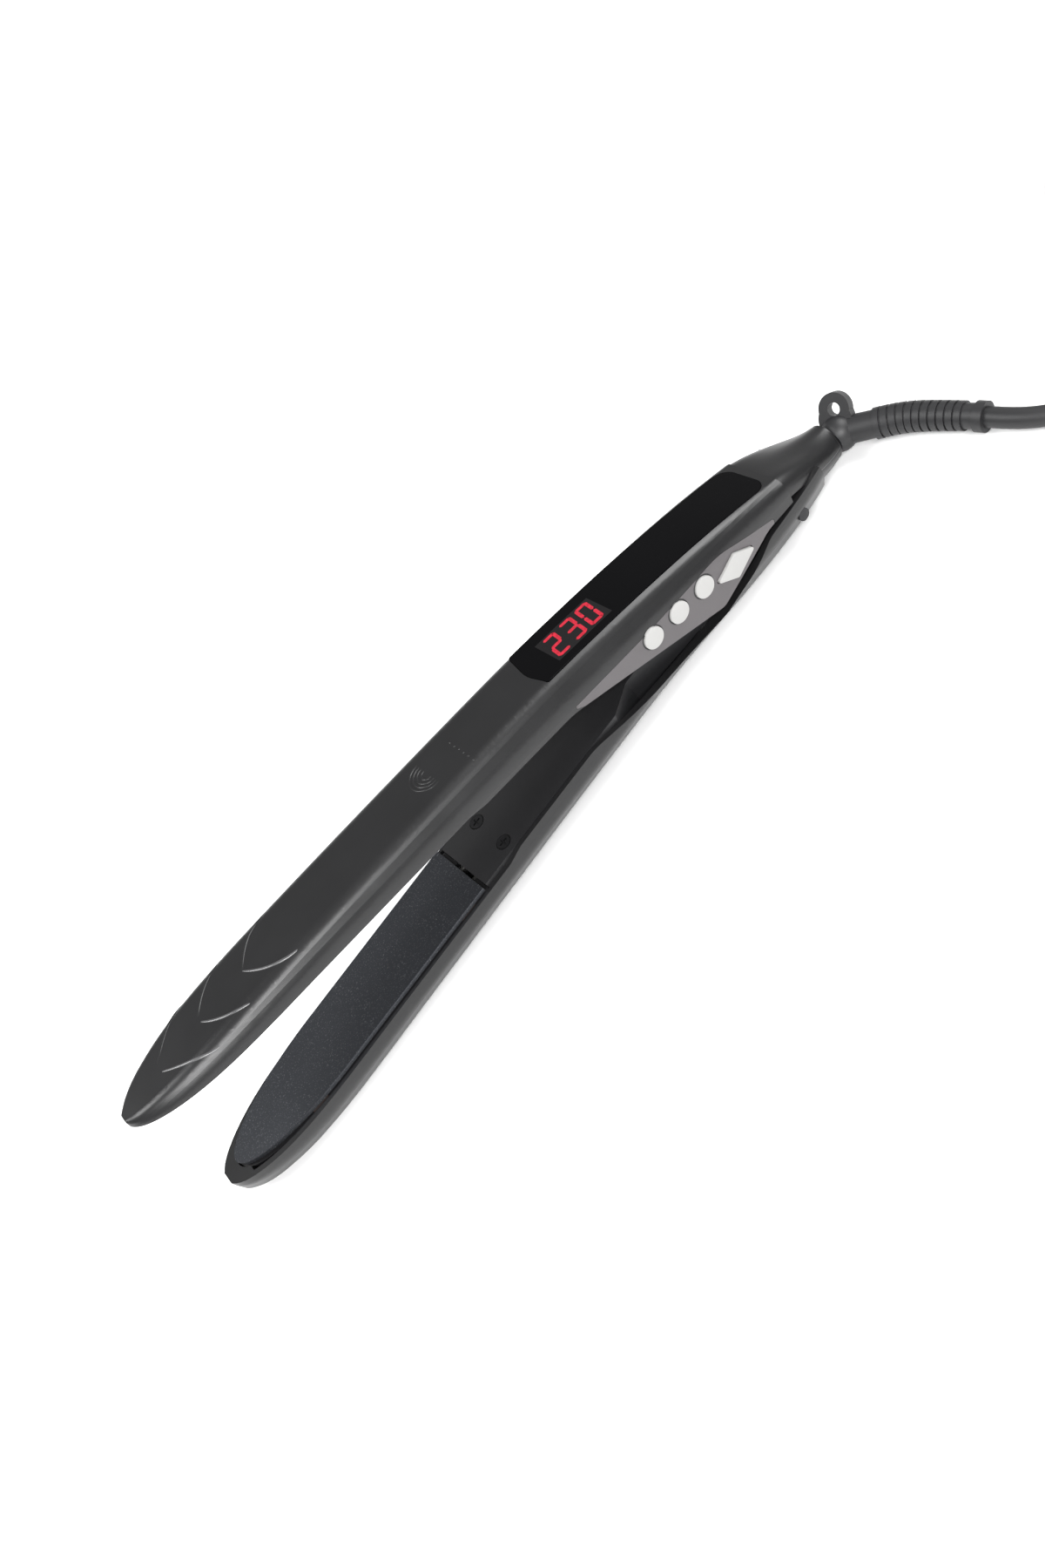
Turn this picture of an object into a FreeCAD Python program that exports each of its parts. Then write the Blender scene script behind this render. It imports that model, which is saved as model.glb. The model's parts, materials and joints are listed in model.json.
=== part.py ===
import FreeCAD, Part
import math
import os

# Hair straightener with a temperature display, lying open on a table.
# Every piece is drawn with the two arms closed on each other:
#   x runs along the arms, 0 at the rear edge of the heating plates, tail at plus x
#   y runs across, buttons at minus y
#   z is up, 0 where the two plates meet
# Each piece is then placed with its own arm: both arms turn about the hinge pin.
doc = FreeCAD.newDocument("hair_straightener")
V = FreeCAD.Vector

# ---------------------------------------------------------------- sizes
sheet = doc.addObject("Spreadsheet::Sheet", "Sizes")
sizes = [
    ("hinge_ahead", 144.8, "rear edge of plates to hinge pin"),
    ("hinge_drop", 11.0, "plate plane down to hinge pin"),
    ("open_angle", 8.66, "angle between the arms as they lie open"),
    ("rest_tilt", 1.4, "lower arm leans tip-down by this when it lies on a table"),
    ("place_x", -30.55, "shift of the whole iron along x"),
    ("place_z", 19.72, "shift of the whole iron up to the table"),
    ("nose_length", 41.3, "length of the rounded nose"),
    ("nose_start", -70.0, "where the nose begins to narrow"),
    ("arm_half", 14.5, "half width of an arm"),
    ("wall", 2.2, "shell wall"),
    ("plate_length", 105.0, "heating plate, length"),
    ("plate_half", 12.3, "heating plate, half width"),
    ("plate_thick", 1.4, "heating plate, thickness"),
    ("plate_float", 1.0, "travel of a floating plate"),
    ("plate_gap", 0.2, "plate face below the meeting plane"),
    ("pin_diameter", 4.0, "hinge pin"),
    ("pin_length", 27.0, "hinge pin, length"),
    ("pin_bore", 4.12, "running bore on the hinge pin"),
    ("button_diameter", 6.8, "round button"),
    ("button_pitch", 10.65, "distance between round buttons"),
    ("button_travel", 0.6, "how far a button goes in"),
    ("screw_head", 4.6, "self tapping screw, head"),
    ("screw_shank", 2.4, "self tapping screw, shank"),
    ("board_thick", 1.2, "circuit board"),
    ("heater_length", 72.0, "ceramic heater strip"),
    ("heater_width", 14.0, "ceramic heater strip, width"),
    ("heater_thick", 1.6, "ceramic heater strip, thickness"),
    ("relief_base", 10.0, "strain relief, diameter at its foot"),
    ("relief_end", 8.4, "strain relief, diameter at the cord"),
    ("cord_diameter", 6.2, "mains cord"),
    ("loop_hole", 4.0, "hanging hole"),
    ("plug_pin_diameter", 4.0, "mains plug pin"),
    ("plug_pin_length", 19.0, "mains plug pin, length"),
    ("plug_pin_spacing", 19.0, "mains plug pins, centre distance"),
]
for row, (alias, value, note) in enumerate(sizes, start=1):
    sheet.set("A%d" % row, note)
    sheet.set("B%d" % row, str(value))
    sheet.setAlias("B%d" % row, alias)
doc.recompute()


def S(alias):
    return float(sheet.get(alias))


HX = S("hinge_ahead")
HZ = -S("hinge_drop")
TIP = S("nose_start") - S("nose_length")


def arm_placement(angle):
    turn = FreeCAD.Rotation(V(0, 1, 0), angle)
    move = FreeCAD.Placement(V(S("place_x"), 0, S("place_z")), FreeCAD.Rotation())
    about = FreeCAD.Placement(V(0, 0, 0), turn, V(HX, 0, HZ))
    return move.multiply(about)


LOWER = arm_placement(-S("rest_tilt"))
UPPER = arm_placement(S("open_angle") - S("rest_tilt"))

pieces = []


def keep(obj, label, placement):
    obj.Label = label
    obj.Placement = placement.multiply(obj.Placement)
    pieces.append(obj)
    return obj


# ---------------------------------------------------------------- helpers
def rounded_edges(points):
    # closed outline with a radius on each corner; returns straight runs and arcs
    n = len(points)
    out = []
    ends = []
    for i in range(n):
        px, py, r = points[i]
        ax, ay = points[i - 1][0], points[i - 1][1]
        bx, by = points[(i + 1) % n][0], points[(i + 1) % n][1]
        p = V(px, py, 0)
        a = V(ax, ay, 0).sub(p)
        b = V(bx, by, 0).sub(p)
        a.normalize()
        b.normalize()
        if r <= 0:
            ends.append((p, None, p))
            continue
        half = a.getAngle(b) / 2.0
        reach = r / math.tan(half)
        start = p + a * reach
        stop = p + b * reach
        mid_dir = a + b
        mid_dir.normalize()
        middle = p + mid_dir * (r / math.sin(half) - r)
        ends.append((start, middle, stop))
    for i in range(n):
        start, middle, stop = ends[i]
        if middle is not None:
            out.append(Part.Arc(start, middle, stop))
        nxt = ends[(i + 1) % n][0]
        if (nxt - stop).Length > 1e-6:
            out.append(Part.LineSegment(stop, nxt))
    return out


def origin_plane(body, role):
    for f in body.Origin.OriginFeatures:
        if getattr(f, "Role", "") == role:
            return f
    raise RuntimeError("no origin plane " + role)


def sketch(body, role, offset, geometry, name, reverse=False):
    sk = body.newObject("Sketcher::SketchObject", name)
    sk.AttachmentSupport = [(origin_plane(body, role), "")]
    sk.MapMode = "FlatFace"
    sk.AttachmentOffset = FreeCAD.Placement(V(0, 0, offset), FreeCAD.Rotation())
    sk.addGeometry(geometry, False)
    doc.recompute()
    return sk


def new_body(name):
    return doc.addObject("PartDesign::Body", name)


def loft(body, kind, sections, name):
    # sections: list of (x, closed outline in y,z)
    sks = []
    for i, (x, pts) in enumerate(sections):
        sks.append(sketch(body, "YZ_Plane", x, rounded_edges(pts), "%s_%02d" % (name, i)))
    f = body.newObject("PartDesign::" + kind, name)
    f.Profile = sks[0]
    f.Sections = sks[1:]
    f.Ruled = False
    doc.recompute()
    return f


def box(x0, x1, y0, y1, z0, z1, name, exprs=None):
    b = doc.addObject("Part::Box", name)
    b.Length = x1 - x0
    b.Width = y1 - y0
    b.Height = z1 - z0
    b.Placement.Base = V(x0, y0, z0)
    for prop, e in (exprs or {}).items():
        b.setExpression(prop, e)
    return b


def cyl(centre, axis, r, h, name, exprs=None):
    # cylinder starting at centre and running along axis
    c = doc.addObject("Part::Cylinder", name)
    c.Radius = r
    c.Height = h
    c.Placement = FreeCAD.Placement(V(*centre), FreeCAD.Rotation(V(0, 0, 1), V(*axis)))
    for prop, e in (exprs or {}).items():
        c.setExpression(prop, e)
    return c


def prism(plane, pts, lo, hi, name):
    # straight prism of a rounded outline; plane "xz" runs along y, "xy" runs along z, "yz" runs along x
    edges = []
    for g in rounded_edges(pts):
        edges.append(g.toShape())
    wire = Part.Wire(Part.__sortEdges__(edges))
    face = Part.Face(wire)
    if plane == "xy":
        m = FreeCAD.Placement(V(0, 0, lo), FreeCAD.Rotation())
        run = V(0, 0, hi - lo)
    elif plane == "xz":
        m = FreeCAD.Placement(V(0, lo, 0), FreeCAD.Rotation(V(1, 0, 0), 90))
        run = V(0, hi - lo, 0)
    else:
        m = FreeCAD.Placement(V(lo, 0, 0), FreeCAD.Rotation(V(0, 1, 0), V(0, 0, 1), V(1, 0, 0), "XYZ"))
        run = V(hi - lo, 0, 0)
    face = face.transformGeometry(m.toMatrix())
    o = doc.addObject("Part::Feature", name)
    o.Shape = face.extrude(run)
    return o


def fuse(objs, name):
    f = doc.addObject("Part::MultiFuse", name)
    f.Shapes = objs
    f.Refine = True
    doc.recompute()
    return f


def cut(base, tools, name):
    tool = tools[0] if len(tools) == 1 else fuse(tools, name + "_tools")
    f = doc.addObject("Part::Cut", name)
    f.Base = base
    f.Tool = tool
    f.Refine = True
    doc.recompute()
    return f


def common(a, b, name):
    f = doc.addObject("Part::Common", name)
    f.Base = a
    f.Tool = b
    doc.recompute()
    return f


def group(objs, name):
    # several separate solids that share one node
    c = doc.addObject("Part::Compound", name)
    c.Links = objs
    doc.recompute()
    return c


def smooth(table, x, col):
    # value of one column of a station table at x, in between its stations
    if x <= table[0][0]:
        return table[0][col]
    for a, b in zip(table, table[1:]):
        if x <= b[0]:
            t = (x - a[0]) / (b[0] - a[0])
            return a[col] + (b[col] - a[col]) * t
    return table[-1][col]


def nose(x):
    # the arms narrow along half an ellipse at the tip
    if x >= S("nose_start"):
        return 1.0
    t = (S("nose_start") - x) / S("nose_length")
    return math.sqrt(max(0.0, 1.0 - t * t))


NOSE_STEPS = [80.0, 70.0, 58.0, 44.0, 24.0]


def nose_stations():
    out = []
    for deg in NOSE_STEPS:
        out.append(S("nose_start") - S("nose_length") * math.sin(math.radians(deg)))
    return out


# ---------------------------------------------------------------- arm outlines
# x, crown height, half width, how far the side leans in towards its foot
UPPER_TABLE = [
    (-112.0, 3.6, 14.7, 0.72),
    (-104.0, 5.6, 14.7, 0.72),
    (-93.0, 7.4, 14.7, 0.72),
    (-76.0, 9.2, 14.7, 0.72),
    (-53.0, 10.6, 14.7, 0.72),
    (-29.0, 11.3, 14.7, 0.72),
    (0.0, 11.8, 14.7, 0.73),
    (28.0, 12.1, 14.7, 0.78),
    (52.0, 12.1, 14.7, 0.86),
    (72.0, 11.4, 14.8, 0.93),
    (90.0, 10.3, 14.8, 0.96),
    (110.0, 8.5, 14.8, 0.97),
    (128.0, 6.2, 14.5, 0.97),
    (143.0, 3.9, 13.6, 0.97),
]
FORM_LOW = -17.0
# x, deepest level, half width
LOWER_TABLE = [
    (-112.0, -9.5, 14.5),
    (-104.0, -12.4, 14.5),
    (-93.0, -13.8, 14.5),
    (-76.0, -14.3, 14.5),
    (-53.0, -14.3, 14.5),
    (-29.0, -14.0, 14.4),
    (0.0, -13.6, 14.4),
    (28.0, -13.2, 14.4),
    (52.0, -12.9, 14.5),
    (78.0, -13.0, 14.6),
    (96.0, -14.2, 14.7),
    (112.0, -15.8, 14.8),
    (128.0, -16.9, 14.7),
    (143.0, -17.2, 14.2),
    (157.5, -16.6, 12.9),
]


def upper_section(x, inset):
    crown = smooth(UPPER_TABLE, x, 1) - inset
    low = FORM_LOW - 3.0 * inset
    a = smooth(UPPER_TABLE, x, 2) * nose(x) - inset
    lean = smooth(UPPER_TABLE, x, 3)
    flat = a * 0.72
    mid = crown * 0.42
    r1 = min(5.0, a * 0.42, crown * 0.5)
    r2 = min(8.0, a * 0.5, crown * 1.1)
    return [(-flat, crown, r1), (flat, crown, r1), (a, mid, r2),
            (a * lean, low, 0), (-a * lean, low, 0), (-a, mid, r2)]


def lower_section(x, inset):
    deep = smooth(LOWER_TABLE, x, 1) + inset
    top = -0.6
    if inset:
        top = top + 6.0
    a = smooth(LOWER_TABLE, x, 2) * nose(x) - inset
    full = top - deep
    flat = a * 0.66
    mid = deep + min(0.62 * (-0.6 - deep), 9.0)
    head = a * 0.93
    r1 = min(5.5, a * 0.42, full * 0.42)
    r2 = min(6.0, a * 0.5, full * 0.4)
    return [(flat, deep, r1), (-flat, deep, r1), (-a, mid, r2),
            (-head, top, 0), (head, top, 0), (a, mid, r2)]


BODY_STATIONS = [-70.0, -45.0, -20.0, 5.0, 28.0, 48.0, 66.0, 84.0, 100.0, 116.0, 130.0]


def form(body_name, kind, section, stations, inset):
    body = new_body(body_name)
    secs = []
    for x in stations:
        secs.append((x, section(x, inset)))
    loft(body, kind, secs, body_name + "_loft")
    return body


# edge between the arms, seen from the side: level along the plates, then dipping
# into the leaf shaped button panel and rising again to the hinge
def parting(front, level, gap, x1, far):
    return [
        (-125.0, front, 0), (10.0, front, 8.0), (16.0, level, 8.0), (51.0, level, 25.0),
        (107.6, -12.6 - gap, 5.0), (131.5, -4.2 - gap, 12.0), (x1, -4.2 - gap, 0),
        (x1, far, 0), (-125.0, far, 0)]


RIM = 2.0       # shell rims stand back this far from the plate plane beside the plates
LEVEL = 0.9     # and this far along the handle
TAIL_X = 143.0  # where the upper shell ends and the tail begins
END_X = 171.0   # end of the tail
END_Z = -9.6    # tail centre at its end
BACK_X = 157.5  # rear end of the lower shell

# ---------------------------------------------------------------- heating plates
def nose_slab(plane_z, thick, rear, half, start, length, name):
    # straight sides and half an ellipse at the tip
    ell = Part.Ellipse(V(start - length, 0, 0), V(start, half, 0), V(start, 0, 0)) if length > half else None
    if ell is None:
        ell = Part.Ellipse(V(start, half, 0), V(start - length, 0, 0), V(start, 0, 0))
    a = V(start, half, 0)
    b = V(start, -half, 0)
    c = V(start - length, 0, 0)
    u0, u1, uc = ell.parameter(a), ell.parameter(b), ell.parameter(c)
    arcs = [Part.ArcOfEllipse(ell, min(u0, u1), max(u0, u1))]
    mid = arcs[0].value((arcs[0].FirstParameter + arcs[0].LastParameter) / 2)
    if (mid - c).Length > 1.0:
        arcs = [Part.ArcOfEllipse(ell, max(u0, u1), min(u0, u1) + 2 * math.pi)]
    edges = [arcs[0].toShape(), Part.LineSegment(b, V(rear, -half, 0)).toShape(),
             Part.LineSegment(V(rear, -half, 0), V(rear, half, 0)).toShape(),
             Part.LineSegment(V(rear, half, 0), a).toShape()]
    face = Part.Face(Part.Wire(Part.__sortEdges__(edges)))
    face.translate(V(0, 0, plane_z))
    o = doc.addObject("Part::Feature", name)
    o.Shape = face.extrude(V(0, 0, thick))
    return o


PLATE_START = -62.0
PLATE_NOSE = S("plate_length") + PLATE_START
POCKET_HALF = S("plate_half") + 0.35


# ---------------------------------------------------------------- shells
u_stations = nose_stations() + BODY_STATIONS + [TAIL_X]
u_outer = form("upper_form", "AdditiveLoft", upper_section, u_stations, 0.0)
u_in_stations = [-103.0, -97.0, -86.0] + BODY_STATIONS + [TAIL_X + 1.0]
u_inner = form("upper_hollow", "AdditiveLoft", upper_section, u_in_stations, S("wall"))
l_stations = nose_stations() + BODY_STATIONS + [143.0, BACK_X]
l_outer = form("lower_form", "AdditiveLoft", lower_section, l_stations, 0.0)
l_in_stations = [-103.0, -97.0, -86.0] + BODY_STATIONS + [143.0, BACK_X + 1.0]
l_inner = form("lower_hollow", "AdditiveLoft", lower_section, l_in_stations, S("wall"))

below_upper = prism("xz", parting(RIM, LEVEL, 0.0, TAIL_X + 3.0, -30.0), -20.0, 20.0, "below_upper")
above_lower = prism("xz", parting(-RIM, -LEVEL, 0.7, BACK_X + 3.0, 30.0), -20.0, 20.0, "above_lower")

# flush display window in the crown
LENS_FRONT = 51.5
LENS_REAR = 140.3
LENS_HALF = 9.6
LENS_THICK = 1.6


def lens_sections(half, low):
    secs = []
    for x in (46.0, 56.0, 66.0, 78.0, 90.0, 103.0, 116.0, 130.0, 142.5):
        top = upper_section(x, 0.0)[0][1] + 0.12
        secs.append((x, [(-half, top, 0), (half, top, 0), (half, top - low, 0), (-half, top - low, 0)]))
    return secs


def lens_plan(grow):
    h = LENS_HALF + grow
    return [(LENS_FRONT - grow, h, 1.0), (LENS_FRONT - 2.0 - grow, -1.5, 12.0), (LENS_FRONT - grow, -h, 1.0),
            (LENS_REAR + grow, -h, 5.0), (LENS_REAR + grow, h, 5.0)]


lens_slab = new_body("lens_slab")
loft(lens_slab, "AdditiveLoft", lens_sections(LENS_HALF + 2.0, LENS_THICK), "lens_slab_loft")
seat_slab = new_body("seat_slab")
loft(seat_slab, "AdditiveLoft", lens_sections(LENS_HALF + 2.0, LENS_THICK + 3.0), "seat_slab_loft")
lens_outline = prism("xy", lens_plan(0.0), -5.0, 20.0, "lens_outline")
seat_outline = prism("xy", lens_plan(0.1), -5.0, 20.0, "seat_outline")
lens = common(lens_slab, lens_outline, "lens_piece")
seat = common(seat_slab, seat_outline, "lens_seat")

# leaf shaped button panel let into the near side
PANEL_Y = -13.4


def panel_outline(grow):
    return [(51.0 - grow, 2.4 + grow, 0.6), (80.0, 2.4 + grow, 60.0), (113.0, 3.3 + grow, 30.0),
            (139.0 + grow, -3.9, 1.0), (130.0, -4.6, 4.0), (108.0, -14.0, 0.0), (60.0, -3.0, 0.0)]


panel_block = prism("xz", panel_outline(0.0), -20.0, PANEL_Y, "panel_block")
panel_seat = prism("xz", panel_outline(0.1), -20.0, PANEL_Y + 0.05, "panel_seat")
panel_raw = common(u_outer, panel_block, "panel_raw")
panel_trim = cut(panel_raw, [below_upper], "panel_trim")

# places of the buttons on the side, x and z
ROUND = []
for k in range(3):
    ROUND.append((82.9 + k * S("button_pitch"), -0.2 - 0.28 * k))
POWER = (116.4, -3.8)
DIAMOND = [(-8.1, 0.1, 0.6), (0.7, 4.0, 0.8), (8.0, 0.1, 0.6), (-0.9, -4.0, 0.8)]


def diamond(grow):
    k = 1.0 + grow / 3.6
    return [(POWER[0] + p * k, POWER[1] + q * k, r) for p, q, r in DIAMOND]


def button_holes(grow, y0, y1, name):
    tools = []
    for k, (x, z) in enumerate(ROUND):
        radius = S("button_diameter") / 2 + grow
        tools.append(cyl((x, y0, z), (0, 1, 0), radius, y1 - y0, "%s_%d" % (name, k)))
    tools.append(prism("xz", diamond(grow), y0, y1, name + "_power"))
    return fuse(tools, name)


holes = button_holes(0.2, -20.0, -9.0, "button_holes")
panel = cut(panel_trim, [holes], "panel_piece")

# screw posts inside the shells
POSTS = [(14.0, 7.0), (14.0, -7.0)]


def posts(sign, names):
    out = []
    for k, (x, y) in enumerate(POSTS):
        z0 = 3.1 if sign > 0 else -3.1
        out.append(cyl((x, y, z0), (0, 0, sign), 2.6, 7.4, "%s_%d" % (names, k)))
    return out


def post_holes(sign, names):
    out = []
    for k, (x, y) in enumerate(POSTS):
        out.append(cyl((x, y, 0.0), (0, 0, sign), S("screw_shank") / 2, 9.0, "%s_%d" % (names, k)))
    return out


upper_pocket = nose_slab(-10.0, 14.2, 1.2, POCKET_HALF, PLATE_START, PLATE_NOSE + 0.6, "upper_pocket")
lower_pocket = nose_slab(-4.2, 14.2, 1.2, POCKET_HALF, PLATE_START, PLATE_NOSE + 0.6, "lower_pocket")
upper_hollowed = cut(u_outer, [u_inner, upper_pocket], "upper_hollowed")
upper_posted = fuse([upper_hollowed, common(fuse(posts(1, "up_post"), "up_posts"), u_outer, "up_posts_in")],
                    "upper_posted")
upper_shell = cut(upper_posted, [below_upper, seat, panel_seat, holes] + post_holes(1, "up_pilot"),
                  "upper_shell_piece")
keep(upper_shell, "upper_shell", UPPER)
keep(lens, "display_lens", UPPER)
keep(panel, "button_panel", UPPER)

lower_hollowed = cut(l_outer, [l_inner, lower_pocket], "lower_hollowed")
low_posts = common(fuse(posts(-1, "low_post"), "low_posts"), l_outer, "low_posts_in")
lower_posted = fuse([lower_hollowed, low_posts], "lower_posted")
cheek_bore = cyl((HX, -13.65, HZ), (0, 1, 0), S("pin_bore") / 2, 27.3, "cheek_bore",
                 {"Radius": "Sizes.pin_bore / 2"})
lower_shell = cut(lower_posted, [above_lower, cheek_bore] + post_holes(-1, "low_pilot"), "lower_shell_piece")
keep(lower_shell, "lower_shell", LOWER)

# ---------------------------------------------------------------- tail
SPRING_X = 136.2
BALL_X = 164.0
BALL_R = 5.0
tail_form = new_body("tail_form")
TAIL = [
    (TAIL_X + 0.15, 3.0, -13.2, 12.9), (146.5, 1.4, -12.9, 11.7), (151.0, -0.4, -12.7, 11.3),
    (155.0, -1.2, -12.9, 10.6), (161.0, -1.9, -15.0, 9.2), (166.5, -2.7, -15.9, 7.6),
    (END_X, -3.2, -16.0, 6.4)]


def tail_section(x, top, low, a):
    full = top - low
    mid = (top + low) / 2
    flat = a * 0.58
    r = min(full, 2 * a) * 0.42
    return [(-flat, top, r), (flat, top, r), (a, mid, r), (flat, low, r), (-flat, low, r), (-a, mid, r)]


loft(tail_form, "AdditiveLoft", [(t[0], tail_section(*t)) for t in TAIL], "tail_loft")

# the cheeks of the lower shell pass on both sides of the tail, from closed to open
cheek_shut = form("cheek_shut", "AdditiveLoft", lower_section, l_in_stations, S("wall") + 0.35)
cheek_open = doc.addObject("Part::Feature", "cheek_open")
cheek_open.Shape = cheek_shut.Shape.copy()
cheek_open.Placement = UPPER.inverse().multiply(LOWER)
between_cheeks = common(cheek_shut, cheek_open, "between_cheeks")
CHEEK_LEDGE = -4.4
cheek_side = prism("xz", [(125.0, CHEEK_LEDGE, 0), (HX, CHEEK_LEDGE, 0), (BACK_X + 1.2, CHEEK_LEDGE + 2.0, 0),
                          (BACK_X + 1.2, -22.0, 0), (125.0, -22.0, 0)], -20.0, 20.0, "cheek_side")
cheek_room = cut(cheek_side, [between_cheeks], "cheek_room")
root = box(133.0, 158.0, -11.3, 11.3, -12.8, -4.4, "tail_root")
spigot = box(136.0, 146.0, -8.5, 8.5, -5.0, -1.2, "tail_spigot")
stem_bore = cyl((158.0, 0, END_Z), (1, 0, 0), 3.1, 14.0, "tail_stem_bore")
ball_bore = doc.addObject("Part::Sphere", "tail_ball_bore")
ball_bore.Radius = BALL_R + 0.1
ball_bore.Placement.Base = V(BALL_X, 0, END_Z)
wire_way = cyl((130.0, 0, END_Z + 1.0), (1, 0, 0), 2.2, 34.0, "tail_wire_way")
spring_room = cyl((SPRING_X, 0, -16.0), (0, 0, 1), 3.6, 7.9, "tail_spring_room")
pin_seat = cyl((HX, -20.0, HZ), (0, 1, 0), S("pin_diameter") / 2, 40.0, "tail_pin_seat",
               {"Radius": "Sizes.pin_diameter / 2"})
tail_solid = fuse([tail_form, root, spigot], "tail_solid")
tail = cut(tail_solid, [cheek_room, stem_bore, ball_bore, wire_way, spring_room, pin_seat], "tail_piece")
keep(tail, "tail_housing", UPPER)
pin = cyl((HX, -S("pin_length") / 2, HZ), (0, 1, 0), S("pin_diameter") / 2, S("pin_length"), "pin",
          {"Radius": "Sizes.pin_diameter / 2", "Height": "Sizes.pin_length"})
keep(pin, "hinge_pin", UPPER)

# ---------------------------------------------------------------- inner covers
def cover_block(section, plan, lo, hi, name):
    # flat block with the plan of a cover, fitted inside the shell
    block = prism("xy", plan, lo, hi, name + "_block")
    return common(block, section, name + "_fit")


COVER_INSET = S("wall") + 0.15
LOWER_STATIONS = BODY_STATIONS + [143.0, BACK_X + 1.0]
upper_fit = form("upper_fit", "AdditiveLoft", upper_section, BODY_STATIONS + [TAIL_X + 1.0], COVER_INSET)
lower_fit = form("lower_fit", "AdditiveLoft", lower_section, LOWER_STATIONS, COVER_INSET)

COVER = 1.6
upper_plan = [(1.2, -13.0, 0), (132.0, -13.0, 0), (132.0, 13.0, 0), (1.2, 13.0, 0)]
upper_plate_part = cover_block(upper_fit, upper_plan, 1.2, 1.2 + COVER, "upper_cover")
pod_out = box(75.0, 127.0, -12.2, -8.0, -11.6, 1.4, "pod_outside")
pod_in = box(76.2, 125.8, -14.0, -9.0, -10.4, 4.0, "pod_inside")
pod = common(cut(pod_out, [pod_in], "pod_walls"), upper_fit, "pod_fit")
pod_edge = prism("xz", parting(RIM, LEVEL, -1.6, TAIL_X + 3.0, -30.0), -20.0, 0.0, "pod_edge")
pod_open = box(76.2, 125.8, -14.0, -9.0, 0.0, 4.0, "pod_open")
cover_open = cut(upper_plate_part, [pod_open], "cover_open")
upper_cover_solid = fuse([cover_open, cut(pod, [pod_edge], "pod_trim")], "upper_cover_solid")
cover_screw_holes = []
for k, (x, y) in enumerate(POSTS):
    cover_screw_holes.append(cyl((x, y, 0.5), (0, 0, 1), S("screw_shank") / 2 + 0.15, 4.0, "up_clear_%d" % k))
    cover_screw_holes.append(cyl((x, y, 0.5), (0, 0, 1), S("screw_head") / 2 + 0.2, 1.5, "up_sink_%d" % k))
upper_cover = cut(upper_cover_solid, cover_screw_holes, "upper_cover_piece")
keep(upper_cover, "upper_inner_cover", UPPER)

# lower cover leaves room on the near side for the button pod
lower_plan = [(1.2, -13.0, 0), (60.0, -13.0, 0), (72.0, -7.2, 0), (128.0, -7.2, 0),
              (128.0, 12.9, 0), (1.2, 12.9, 0)]
lower_in_plan = [(2.8, -11.4, 0), (59.2, -11.4, 0), (70.6, -5.6, 0), (126.4, -5.6, 0),
                 (126.4, 11.3, 0), (2.8, 11.3, 0)]
lower_block = cover_block(lower_fit, lower_plan, -12.0, -0.8, "lower_cover")
lower_room = prism("xy", lower_in_plan, -13.0, -0.8 - COVER, "lower_cover_room")
skirt_plan = [(52.0, 11.9, 0), (130.0, 11.7, 0), (130.0, 20.0, 0), (52.0, 20.0, 0)]
skirt_room = prism("xy", skirt_plan, -20.0, 2.0, "skirt_room")
low_post_room = fuse([cyl((x, y, -20.0), (0, 0, 1), 2.8, 18.0, "low_room_%d" % k)
                      for k, (x, y) in enumerate(POSTS)], "low_post_room")
low_screw = []
for k, (x, y) in enumerate(POSTS):
    low_screw.append(cyl((x, y, -4.0), (0, 0, 1), S("screw_shank") / 2 + 0.15, 4.0, "low_clear_%d" % k))
    low_screw.append(cyl((x, y, -1.9), (0, 0, 1), S("screw_head") / 2 + 0.2, 3.0, "low_sink_%d" % k))
wire_notch = box(0.0, 4.0, -5.5, 5.5, -7.0, -0.8 - COVER, "low_wire_notch")
lower_cover = cut(lower_block, [lower_room, skirt_room, wire_notch] + low_screw, "lower_cover_piece")
keep(lower_cover, "lower_inner_cover", LOWER)


def screw(x, y, z, up, name):
    # countersunk head outside, shank into the post
    head = cyl((x, y, z), (0, 0, up), S("screw_head") / 2, 1.2, name + "_head",
               {"Radius": "Sizes.screw_head / 2"})
    slot_low = min(z, z + 0.7 * up)
    slot_high = max(z, z + 0.7 * up)
    slot_a = box(x - 1.4, x + 1.4, y - 0.3, y + 0.3, slot_low, slot_high, name + "_slot_a")
    slot_b = box(x - 0.3, x + 0.3, y - 1.4, y + 1.4, slot_low, slot_high, name + "_slot_b")
    shank = cyl((x, y, z + 1.1 * up), (0, 0, up), S("screw_shank") / 2, 6.4, name + "_shank",
                {"Radius": "Sizes.screw_shank / 2"})
    return cut(fuse([head, shank], name + "_solid"), [slot_a, slot_b], name)


up_screws = [screw(x, y, 0.8, 1, "up_screw_%d" % k) for k, (x, y) in enumerate(POSTS)]
upper_screws = group(up_screws, "upper_screws_set")
keep(upper_screws, "upper_cover_screws", UPPER)
low_screws = [screw(x, y, -0.7, -1, "low_screw_%d" % k) for k, (x, y) in enumerate(POSTS)]
lower_screws = group(low_screws, "lower_screws_set")
keep(lower_screws, "lower_cover_screws", LOWER)

# ---------------------------------------------------------------- heating plates, one set per arm
HEATER_X = -80.0


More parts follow.
